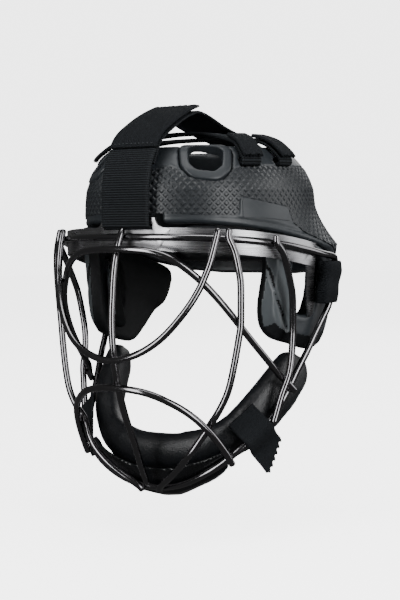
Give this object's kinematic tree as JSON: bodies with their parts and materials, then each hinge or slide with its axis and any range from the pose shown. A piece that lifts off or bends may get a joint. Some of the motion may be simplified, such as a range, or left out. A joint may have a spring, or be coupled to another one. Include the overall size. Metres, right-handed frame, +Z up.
{
  "type": "sport face mask",
  "caption": "Sports face mask: a cage of round wires on a flat brow plate, an open soft foam head shell with ear guards, pads, a chin cup and webbing straps with lifting ends",
  "frame": {"origin": "in the middle of the head space, on the ear line, at the mount where the mask sits on the wearer's head", "axes": "+X to the wearer's left, +Y to the back of the head, -Y out of the face, +Z up"},
  "size_m": [0.2176, 0.2173, 0.285],
  "materials": {
    "cage_wire": "polished dark",
    "brow_plate": "brushed dark",
    "moulded_foam": "matte, knurled",
    "side_panel": "satin",
    "pad_cover": "matte brushed",
    "chin_cup": "matte",
    "webbing": "woven"
  },
  "bodies": {
    "mask": {"brow_plate": "brow_plate", "perimeter_wire": "cage_wire", "centre_wire": "cage_wire", "eye_loop_wire": "cage_wire", "brow_arch_wire": "cage_wire", "chin_arch_wire": "cage_wire", "side_wire_left": "cage_wire", "side_wire_right": "cage_wire", "temple_wire_left": "cage_wire", "temple_wire_right": "cage_wire", "foam_shell": "moulded_foam", "vent_rim_left": "moulded_foam", "vent_rim_right": "moulded_foam", "side_panel_left": "side_panel", "side_panel_right": "side_panel", "brow_pad": "pad_cover", "rear_pad": "pad_cover", "ear_guard_left": "moulded_foam", "ear_guard_right": "moulded_foam", "cheek_pad_left": "pad_cover", "cheek_pad_right": "pad_cover", "chin_pad": "pad_cover", "chin_cup": "chin_cup", "front_crown_strap": "webbing", "rear_crown_strap": "webbing", "front_cross_strap": "webbing", "rear_cross_strap": "webbing", "temple_strap_left": "webbing", "temple_strap_right": "webbing", "chin_strap_left": "webbing", "chin_strap_right": "webbing"},
    "crown_tab": {"crown_tab": "webbing"},
    "front_cross_tab_left": {"front_cross_tab_left": "webbing"},
    "front_cross_tab_right": {"front_cross_tab_right": "webbing"},
    "rear_cross_tab_left": {"rear_cross_tab_left": "webbing"},
    "rear_cross_tab_right": {"rear_cross_tab_right": "webbing"},
    "chin_tail_left": {"chin_tail_left": "webbing"},
    "chin_tail_right": {"chin_tail_right": "webbing"}
  },
  "joints": [
    {"name": "crown_tab_hinge", "type": "hinge", "parent": "mask", "child": "crown_tab", "pos_m": [0, -0.0934, 0.1037], "axis": [1, 0, 0], "range_deg": [0, 75]},
    {"name": "front_cross_tab_left_hinge", "type": "hinge", "parent": "mask", "child": "front_cross_tab_left", "pos_m": [0.0461, -0.0299, 0.1134], "axis": [-0.5446, -0.8387, 0], "range_deg": [0, 60]},
    {"name": "front_cross_tab_right_hinge", "type": "hinge", "parent": "mask", "child": "front_cross_tab_right", "pos_m": [-0.0461, -0.0299, 0.1134], "axis": [-0.5446, 0.8387, 0], "range_deg": [0, 60]},
    {"name": "rear_cross_tab_left_hinge", "type": "hinge", "parent": "mask", "child": "rear_cross_tab_left", "pos_m": [0.049, -0.0052, 0.1134], "axis": [-0.1045, -0.9945, 0], "range_deg": [0, 60]},
    {"name": "rear_cross_tab_right_hinge", "type": "hinge", "parent": "mask", "child": "rear_cross_tab_right", "pos_m": [-0.049, -0.0052, 0.1134], "axis": [-0.1045, 0.9945, 0], "range_deg": [0, 60]},
    {"name": "chin_tail_left_hinge", "type": "hinge", "parent": "mask", "child": "chin_tail_left", "pos_m": [0.0769, -0.0456, -0.1076], "axis": [-0.4566, -0.6257, -0.6325], "range_deg": [0, 45]},
    {"name": "chin_tail_right_hinge", "type": "hinge", "parent": "mask", "child": "chin_tail_right", "pos_m": [-0.0769, -0.0456, -0.1076], "axis": [-0.4566, 0.6257, 0.6325], "range_deg": [0, 45]}
  ]
}
